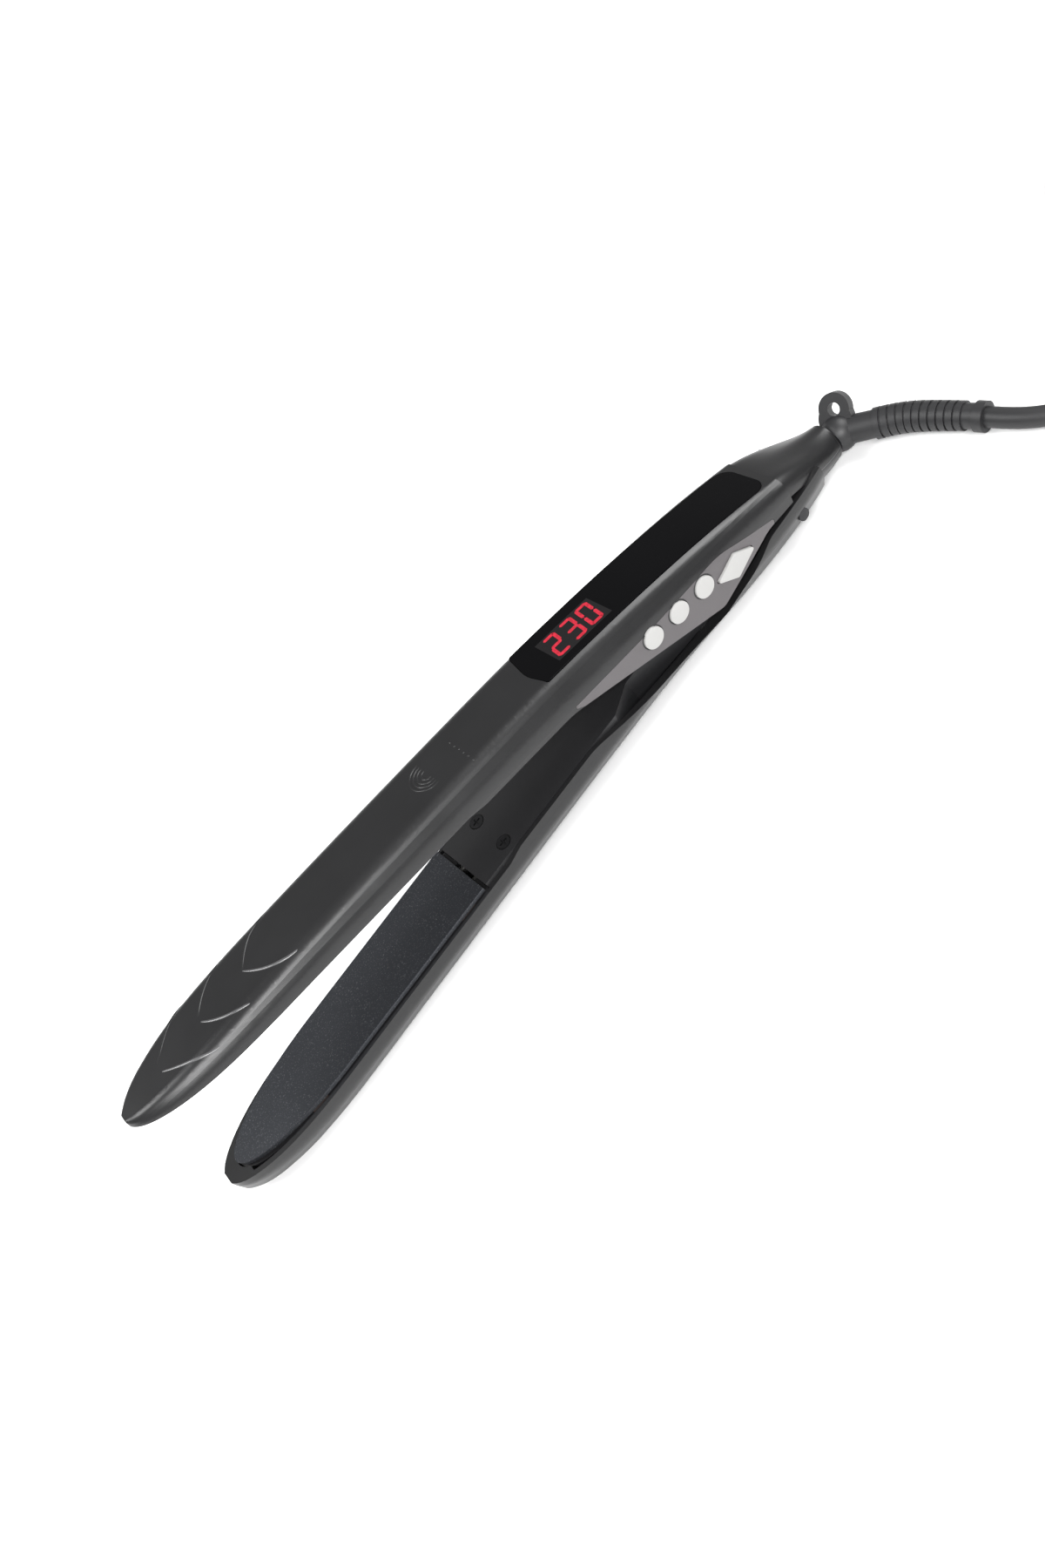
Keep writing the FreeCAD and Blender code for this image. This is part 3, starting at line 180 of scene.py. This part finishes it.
BLACK_STEEL = plastic("blackened_steel", (0.035, 0.035, 0.037), 0.34, 900.0, 0.00001, 0.08, metallic=0.8)
CERAMIC = plastic("ceramic_white", (0.72, 0.70, 0.66), 0.65, 1200.0, 0.00005, 0.06)
STEEL = plastic("steel", (0.55, 0.55, 0.56), 0.28, 900.0, 0.00001, 0.05, metallic=1.0)
SILICONE = plastic("silicone_dark", (0.03, 0.022, 0.02), 0.6, 1500.0, 0.00003, 0.1)
BOARD = plastic("board_green", (0.02, 0.12, 0.05), 0.4, 700.0, 0.00004, 0.2)
CHIP = plastic("chip_black", (0.014, 0.014, 0.015), 0.5, 1500.0, 0.00003, 0.15)
DIGIT = lamp_red("digit_red")
NYLON = plastic("ball_nylon", (0.012, 0.012, 0.012), 0.3, 1000.0, 0.00001, 0.1)
RUBBER = plastic("cord_rubber", (0.010, 0.010, 0.011), 0.50, 1700.0, 0.00004, 0.15)
WIRE = plastic("wire_silicone", (0.05, 0.048, 0.045), 0.55, 1500.0, 0.00002, 0.08)
NICKEL = plastic("pin_nickel", (0.70, 0.69, 0.66), 0.22, 900.0, 0.00001, 0.04, metallic=1.0)

FINISH = {
    "shell_charcoal": CHARCOAL, "lens_black": LENS_BLACK, "panel_grey": PANEL_GREY, "button_silver": SILVER,
    "cover_black": COVER_BLACK, "plate_titanium": TITANIUM, "ceramic_white": CERAMIC, "steel": STEEL,
    "silicone_red": SILICONE, "board_green": BOARD, "chip_black": CHIP, "digit_red": DIGIT,
    "ball_nylon": NYLON, "cord_rubber": RUBBER, "wire_silicone": WIRE, "pin_nickel": NICKEL}

for part in frame["record"]["subparts"]:
    node = frame["nodes"][part["node"]]
    node.data.materials.clear()
    node.data.materials.append(FINISH[part["material_slot"]])
for name in ("hinge_pin", "upper_cover_screws", "lower_cover_screws"):
    frame["nodes"][name].data.materials[0] = BLACK_STEEL


# ------------------------------------------------------------------ helpers for pieces
def finish_piece(obj, body, slot, stands_for=()):
    obj.data.materials.clear()
    obj.data.materials.append(FINISH[slot])
    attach(obj, body)
    if stands_for:
        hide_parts(*stands_for)
    return obj


def new_object(name, data):
    obj = bpy.data.objects.new(name, data)
    bpy.context.scene.collection.objects.link(obj)
    return obj


def smooth(mesh):
    for face in mesh.polygons:
        face.use_smooth = True


def mesh_from(bm, name):
    mesh = bpy.data.meshes.new(name)
    bm.to_mesh(mesh)
    bm.free()
    return mesh


def mesh_of(curve):
    """The tube or line that a curve makes, as a mesh."""
    bare = new_object(curve.name + "_line", curve)
    mesh = bpy.data.meshes.new_from_object(bare)
    bpy.data.objects.remove(bare)
    return mesh


def round_edges(obj, width, segments, angle):
    edge = obj.modifiers.new("rounded", "BEVEL")
    edge.width = width
    edge.segments = segments
    edge.limit_method = "ANGLE"
    edge.angle_limit = math.radians(angle)
    edge.harden_normals = True


def ease(t):
    t = max(0.0, min(1.0, t))
    return t * t * (3.0 - 2.0 * t)


def surface(name):
    """Search tree of a CAD node's own surface."""
    node = frame["nodes"][name]
    corners = [node.matrix_world @ v.co for v in node.data.vertices]
    return BVHTree.FromPolygons(corners, [tuple(p.vertices) for p in node.data.polygons])


def settle(tree, start, heading, lift):
    """Where a ray from start meets the surface, raised by lift."""
    hit, normal, _, _ = tree.ray_cast(start, heading)
    if hit is None:
        hit, normal, _, _ = tree.find_nearest(start)
    if normal.dot(heading) > 0:
        normal = -normal
    return hit + normal * lift


THIN_END = 0.6            # thickness of a raised line at its ends, of its middle
DEEP_END = 1.3            # how deep its ends lie, of its middle


def ridge_lines(name, lines, tree, heading, radius, sink, closed=False):
    """Thin raised lines half sunk in a surface. Open lines get thinner and deeper to their ends."""
    curve = bpy.data.curves.new(name, "CURVE")
    curve.dimensions = "3D"
    curve.bevel_depth = radius
    curve.bevel_resolution = 3
    curve.use_fill_caps = True
    for line in lines:
        spline = curve.splines.new("POLY")
        spline.points.add(len(line) - 1)
        spline.use_cyclic_u = closed
        for k, (point, start) in enumerate(zip(spline.points, line)):
            along = k / (len(line) - 1)
            full = 1.0 if closed else math.sin(math.pi * along) ** 0.5
            depth = sink * (DEEP_END - (DEEP_END - 1.0) * full)
            point.co = tuple(settle(tree, start, heading, -depth)) + (1.0,)
            point.radius = THIN_END + (1.0 - THIN_END) * full
    mesh = mesh_of(curve)
    smooth(mesh)
    return new_object(name, mesh)


SAME_CORNER = 0.000005    # corners closer than this are one, in metres
SHARP = 35.0              # edges sharper than this are rounded, in degrees


def softened(name, width):
    """Copy of a CAD node with rounded edges, to be shown in its place."""
    node = frame["nodes"][name]
    bm = bmesh.new()
    bm.from_mesh(node.data)
    bmesh.ops.remove_doubles(bm, verts=bm.verts, dist=SAME_CORNER)
    mesh = mesh_from(bm, name + "_soft")
    smooth(mesh)
    obj = new_object(name + "_soft", mesh)
    round_edges(obj, width, 3, SHARP)
    return obj


def bow(first, middle, last, steps=18):
    """Smooth arc that passes three places."""
    a, b, c = Vector(first), Vector(middle), Vector(last)
    pull = b * 2.0 - (a + c) * 0.5
    parts = [k / steps for k in range(steps + 1)]
    return [a * (1 - t) ** 2 + pull * 2 * t * (1 - t) + c * t ** 2 for t in parts]


# ------------------------------------------------------------------ upper shell details
ABOVE = 30.0              # rays start this far over the arm, mm
UP_AXIS = (UPPER.to_3x3() @ Vector((0.0, 0.0, 1.0))).normalized()
upper_skin = surface("upper_shell")
lens_skin = surface("display_lens")

# middle of the arm, a place halfway and the shoulder, for each line near the tip
CRESCENTS = [((-95.4, -1.0), (-86.0, -8.7), (-78.7, -11.5)),
             ((-78.9, -0.4), (-72.9, -6.8), (-64.9, -10.6)),
             ((-62.1, 0.7), (-54.9, -7.4), (-46.5, -10.2))]
CRESCENT_THICK = 0.00060
CRESCENT_SINK = 0.00034
# the near lines get a painted highlight, a lighter grey than the shell; the far lines keep the shell's charcoal
for side, name, line_colour_and_highlight in ((1.0, "near_crescents", NEAR_LINE_HIGHLIGHT), (-1.0, "far_crescents", CHARCOAL)):
    crescent_lines = []
    for ends in CRESCENTS:
        arc = bow(*[(x, y * side, 0.0) for x, y in ends])
        crescent_lines.append([upper(p.x, p.y, ABOVE) for p in arc])
    crescents = ridge_lines(name, crescent_lines, upper_skin, -UP_AXIS, CRESCENT_THICK, CRESCENT_SINK)
    finish_piece(crescents, "upper_arm", "shell_charcoal")
    crescents.data.materials[0] = line_colour_and_highlight

THUMB_X = 10.7
THUMB_RINGS = (1.8, 3.2, 4.4, 5.6)
RING_FROM = 80.0          # the rings are open on the tail side, degrees
RING_SWEEP = 200.0
RING_STEPS = 24
ring_angles = [math.radians(RING_FROM + RING_SWEEP * k / RING_STEPS) for k in range(RING_STEPS + 1)]
ring_lines = [[upper(THUMB_X + radius * math.cos(a), radius * math.sin(a), ABOVE) for a in ring_angles]
              for radius in THUMB_RINGS]
thumb_rings = ridge_lines("thumb_rings", ring_lines, upper_skin, -UP_AXIS, 0.00050, 0.00026)
finish_piece(thumb_rings, "upper_arm", "shell_charcoal")


def domes(name, places, tree, heading, radius, proud):
    """Row of small raised dots."""
    bm = bmesh.new()
    for start in places:
        seat = settle(tree, start, heading, proud - radius)
        bmesh.ops.create_icosphere(bm, subdivisions=2, radius=radius, matrix=Matrix.Translation(seat))
    mesh = mesh_from(bm, name)
    smooth(mesh)
    return new_object(name, mesh)


DOT_X = 21.6
DOT_FIRST_Y = 2.2
DOT_ROW = 11.8
DOTS = 6
dot_places = [upper(DOT_X, DOT_FIRST_Y - DOT_ROW * k / (DOTS - 1), ABOVE) for k in range(DOTS)]
grip_dots = domes("thumb_dots", dot_places, upper_skin, -UP_AXIS, 0.00045, 0.00020)
finish_piece(grip_dots, "upper_arm", "shell_charcoal")

# ------------------------------------------------------------------ display


def skin_mesh(name, corners, faces, tree, heading, top, bottom):
    """Flat shape laid on a surface, given as corners over it, with a little thickness."""
    bm = bmesh.new()
    high = [bm.verts.new(settle(tree, c, heading, top)) for c in corners]
    low = [bm.verts.new(settle(tree, c, heading, bottom)) for c in corners]
    used = {}
    for face in faces:
        bm.faces.new([high[i] for i in face])
        bm.faces.new([low[i] for i in reversed(face)])
        for i, j in zip(face, face[1:] + face[:1]):
            used.setdefault(frozenset((i, j)), []).append((i, j))
    for pairs in used.values():
        if len(pairs) == 1:
            i, j = pairs[0]
            bm.faces.new([high[j], high[i], low[i], low[j]])
    bmesh.ops.recalc_face_normals(bm, faces=bm.faces)
    return new_object(name, mesh_from(bm, name))


WINDOW_X = (58.6, 79.6)
WINDOW_Y = (-6.9, 5.0)
GRID = 10
ROW = GRID + 1
grid_corners = [upper(WINDOW_X[0] + (WINDOW_X[1] - WINDOW_X[0]) * i / GRID,
                      WINDOW_Y[0] + (WINDOW_Y[1] - WINDOW_Y[0]) * j / GRID, ABOVE)
                for j in range(ROW) for i in range(ROW)]
grid_faces = [(j * ROW + i, j * ROW + i + 1, (j + 1) * ROW + i + 1, (j + 1) * ROW + i)
              for j in range(GRID) for i in range(GRID)]
window = skin_mesh("display_window", grid_corners, grid_faces, lens_skin, -UP_AXIS, 0.00002, -0.00010)
finish_piece(window, "upper_arm", "lens_black")
window.data.materials[0] = WINDOW

SEGMENTS = {"2": "abged", "3": "abgcd", "0": "abcdef"}
DIGIT_WIDE = 4.9
DIGIT_TALL = 10.2
DIGIT_STROKE = 1.15
DIGIT_FIRST = 59.6
DIGIT_PITCH = 6.5
DIGIT_FOOT = -6.0
DIGIT_GAP = 0.14
POINT_BACK = 0.3          # how far the points of the level segments stand back
SLANT = 0.10


def segment(kind):
    """Corners of one segment, x across the digit and y up it."""
    w, h, t, gap = DIGIT_WIDE, DIGIT_TALL, DIGIT_STROKE, DIGIT_GAP
    mid = h / 2.0
    if kind in "adg":
        foot = {"a": h - t, "d": 0.0, "g": mid - t / 2}[kind]
        return [(gap + POINT_BACK, foot + t / 2), (gap + t * 0.7, foot), (w - gap - t * 0.7, foot),
                (w - gap - POINT_BACK, foot + t / 2), (w - gap - t * 0.7, foot + t), (gap + t * 0.7, foot + t)]
    left = {"f": 0.0, "e": 0.0, "b": w - t, "c": w - t}[kind]
    low, high = (mid + gap, h - gap) if kind in "fb" else (gap, mid - gap)
    return [(left + t / 2, low), (left + t, low + t * 0.5), (left + t, high - t * 0.5), (left + t / 2, high),
            (left, high - t * 0.5), (left, low + t * 0.5)]


digit_corners = []
digit_faces = []
for place, figure in enumerate("230"):
    for kind in SEGMENTS[figure]:
        first = len(digit_corners)
        outline = segment(kind)
        for x, y in outline:
            along = DIGIT_FIRST + DIGIT_PITCH * place + x + SLANT * y
            digit_corners.append(upper(along, DIGIT_FOOT + y, ABOVE))
        digit_faces.append(tuple(range(first, first + len(outline))))
digits = skin_mesh("display_figures", digit_corners, digit_faces, lens_skin, -UP_AXIS, 0.00006, -0.00008)
finish_piece(digits, "upper_arm", "digit_red", ["display_digits"])

# ------------------------------------------------------------------ tail cowl
COWL_FROM = 140.5
COWL_TO = 170.6
COWL_STEPS = 14
COWL_AROUND = 28
COWL_EDGE = -2.4          # how low the sides of the cowl reach at its front
COWL_INSET = 0.4
OUTSIDE = 40.0            # rays start this far from the middle of the arm
TAIL_END_Z = -9.6
TAIL_END_R = 6.4


def cowl_mesh():
    """Smooth top of the tail: the upper shell's last section narrowing to the strain relief."""
    centre = upper(COWL_FROM, 0.0, COWL_EDGE)
    angles = [math.pi * k / COWL_AROUND for k in range(COWL_AROUND + 1)]
    reach = []
    for a in angles:
        start = upper(COWL_FROM, OUTSIDE * math.cos(a), COWL_EDGE + OUTSIDE * math.sin(a))
        hit, _, _, _ = upper_skin.ray_cast(start, (centre - start).normalized())
        reach.append((hit - centre).length / MM - COWL_INSET)
    bm = bmesh.new()
    rings = []
    for i in range(COWL_STEPS + 1):
        t = i / COWL_STEPS
        x = COWL_FROM + (COWL_TO - COWL_FROM) * t
        slim = 0.25 * t + 0.75 * t * t
        zc = COWL_EDGE + (TAIL_END_Z - COWL_EDGE) * (0.5 * t + 0.5 * ease(t))
        ring = []
        for a, wide in zip(angles, reach):
            r = wide + (TAIL_END_R - wide) * slim
            ring.append(bm.verts.new(upper(x, r * math.cos(a), zc + r * math.sin(a))))
        rings.append(ring)
    for here, after in zip(rings, rings[1:]):
        for k in range(COWL_AROUND):
            bm.faces.new([here[k], here[k + 1], after[k + 1], after[k]])
        bm.faces.new([here[COWL_AROUND], here[0], after[0], after[COWL_AROUND]])
    bm.faces.new(rings[0])
    bm.faces.new(list(reversed(rings[-1])))
    bmesh.ops.recalc_face_normals(bm, faces=bm.faces)
    mesh = mesh_from(bm, "tail_cowl")
    for face in mesh.polygons:
        face.use_smooth = len(face.vertices) == 4
    return mesh


cowl = new_object("tail_cowl", cowl_mesh())
round_edges(cowl, 0.0005, 2, 50.0)
finish_piece(cowl, "upper_arm", "shell_charcoal")

# ------------------------------------------------------------------ hinge pin and buttons
pin_head = softened("hinge_pin", 0.0009)
finish_piece(pin_head, "upper_arm", "steel", ["hinge_pin"])
pin_head.data.materials[0] = BLACK_STEEL

ROUND_BUTTONS = ("front_button", "middle_button", "rear_button")
for name in ROUND_BUTTONS:
    finish_piece(softened(name, 0.00045), name, "button_silver", [name])
finish_piece(softened("power_button", 0.00040), "power_button", "button_silver", ["power_button"])

SIDEWAYS = Vector((0.0, 1.0, 0.0))
RIM_GAP = 0.00028         # between a button and the dark ring round it
RIM_STEPS = 40
BESIDE = -0.03            # rays start out here on the buttons' side
CAP_FACE = 0.0003         # how deep the outer face of a button counts
panel_skin = surface("button_panel")
rim_lines = []
for name in ROUND_BUTTONS:
    places = [v.co for v in frame["nodes"][name].data.vertices]
    face_y = min(p.y for p in places)
    outer = [p for p in places if p.y < face_y + CAP_FACE]
    cx = (min(p.x for p in outer) + max(p.x for p in outer)) / 2
    cz = (min(p.z for p in outer) + max(p.z for p in outer)) / 2
    radius = max(math.hypot(p.x - cx, p.z - cz) for p in outer) + RIM_GAP
    rim_angles = [2 * math.pi * k / RIM_STEPS for k in range(RIM_STEPS)]
    rim_lines.append([Vector((cx + radius * math.cos(a), BESIDE, cz + radius * math.sin(a)))
                      for a in rim_angles])
rims = ridge_lines("button_rims", rim_lines, panel_skin, SIDEWAYS, 0.00022, 0.00006, closed=True)
finish_piece(rims, "upper_arm", "cover_black")


# ------------------------------------------------------------------ cord
CORD = 0.0062
EXIT = [(0.1470, -0.0045, 0.0066), (0.1515, -0.0115, 0.0064), (0.1558, -0.0195, 0.0060),
        (0.1594, -0.0290, 0.0055), (0.1622, -0.0385, 0.0051)]
LEAD = [(0.1650, -0.0518, 0.0044), (0.1699, -0.0614, 0.0038), (0.1771, -0.0694, 0.0034),
        (0.1863, -0.0753, 0.0032), (0.1980, -0.0790, 0.0032), (0.2140, -0.0809, 0.0032),
        (0.2340, -0.0812, 0.0032), (0.2520, -0.0809, 0.0032), (0.2620, -0.0805, 0.0032)]
END = [(0.2960, -0.0766, 0.0149), (0.3070, -0.0719, 0.0129), (0.3166, -0.0652, 0.0103),
       (0.3242, -0.0564, 0.0080), (0.3292, -0.0460, 0.0063)]
COIL = Vector((0.274, -0.040, 0.0))
SLOTS = (0.0276, 0.0340, 0.0404)        # radii of the turns that lie side by side
LAYERS = (0.0032, 0.0094, 0.0156)       # heights of the turns that lie on one another
# slot and layer of each turn, from the lead to the plug's end
WINDING = [(2, 0), (1, 0), (0, 0), (0, 1), (1, 1), (2, 1), (1, 2), (2, 2)]
ENTRY = 268.0             # where the lead meets the coil, degrees round its centre
LAST_TURN = 17.0          # how far the cord goes into its last turn before it leaves
STEP = 15.0
SHIFT = 50.0              # each turn moves to its next slot in the last stretch before the entry


def coil_points():
    """The cord's turns, each easing into its next slot and layer before it comes round."""
    out = []
    last = (len(WINDING) - 1) * 360.0 + LAST_TURN
    count = int(last / STEP)
    for i in range(count + 1):
        gone = i * STEP
        turn = int(gone // 360.0)
        here = WINDING[turn]
        after = WINDING[min(turn + 1, len(WINDING) - 1)]
        k = ease((gone - turn * 360.0 - (360.0 - SHIFT)) / SHIFT)
        r = SLOTS[here[0]] + (SLOTS[after[0]] - SLOTS[here[0]]) * k
        z = LAYERS[here[1]] + (LAYERS[after[1]] - LAYERS[here[1]]) * k
        at = math.radians(ENTRY + gone)
        out.append((COIL.x + r * math.cos(at), COIL.y + r * math.sin(at), z))
    return out


def cord_curve(thickness):
    route = EXIT + LEAD + coil_points() + END
    curve = bpy.data.curves.new("mains_cord", "CURVE")
    curve.dimensions = "3D"
    spline = curve.splines.new("NURBS")
    spline.points.add(len(route) - 1)
    for point, place in zip(spline.points, route):
        point.co = tuple(place) + (1.0,)
    spline.order_u = 3
    spline.use_endpoint_u = True
    spline.resolution_u = 6
    curve.bevel_depth = thickness / 2
    curve.bevel_resolution = 4
    curve.use_fill_caps = True
    return curve


# the cord's route as points, and the cord as one tube along it
cord_path = [tuple(v.co) for v in mesh_of(cord_curve(0.0)).vertices]
cord = new_object("mains_cord", mesh_of(cord_curve(CORD)))
smooth(cord.data)
cord.data.materials.clear()
cord.data.materials.append(RUBBER)
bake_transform(cord)
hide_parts("cord_lead", "cord_coil", "cord_end")

# ------------------------------------------------------------------ stage
floor_mat = plastic("table_white", (0.90, 0.90, 0.90), 0.6, 200.0, 0.00002, 0.01)
floor_mesh = bpy.data.meshes.new("table")
half = 3.0
floor_corners = [(-half, -half, 0), (half, -half, 0), (half, half, 0), (-half, half, 0)]
floor_mesh.from_pydata(floor_corners, [], [(0, 1, 2, 3)])
floor = new_object("table", floor_mesh)
floor.data.materials.append(floor_mat)
floor.location.z = -0.0002

world = bpy.data.worlds.new("studio")
bpy.context.scene.world = world
world.use_nodes = True
world.node_tree.nodes["Background"].inputs["Color"].default_value = (1.0, 1.0, 1.0, 1.0)
world.node_tree.nodes["Background"].inputs["Strength"].default_value = 0.34


def softbox(name, place, target, size, power):
    light = bpy.data.lights.new(name, "AREA")
    light.shape = "RECTANGLE"
    light.size, light.size_y = size
    light.energy = power
    obj = new_object(name, light)
    obj.location = place
    obj.rotation_euler = (Vector(target) - Vector(place)).to_track_quat("-Z", "Y").to_euler()
    return obj


softbox("key_light", (-1.0, -2.6, 2.4), (0.0, 0.0, 0.03), (2.4, 1.2), 190.0)
softbox("side_light", (2.2, -0.4, 2.6), (0.0, 0.0, 0.0), (2.0, 1.6), 110.0)
softbox("back_light", (-1.8, 0.9, 2.4), (0.0, 0.0, 0.0), (1.4, 1.4), 60.0)

# ------------------------------------------------------------------ camera
# the camera's own axes, fitted to the photo
RIGHT = Vector((0.62095, -0.57598, -0.53167))
UP = Vector((0.78043, 0.39099, 0.48790))
BACK = Vector((-0.07315, -0.71789, 0.69230))
CAMERA_PLACE = (-0.02830, -0.27824, 0.28574)
camera_data = bpy.data.cameras.new("camera")
camera_data.sensor_width = 36.0
camera_data.lens = 30.48
camera_data.clip_start = 0.01
camera = new_object("camera", camera_data)
axes = Matrix((RIGHT, UP, BACK)).transposed()
camera.matrix_world = Matrix.Translation(CAMERA_PLACE) @ axes.to_4x4()
bpy.context.scene.camera = camera
bpy.context.scene.view_settings.view_transform = "Standard"
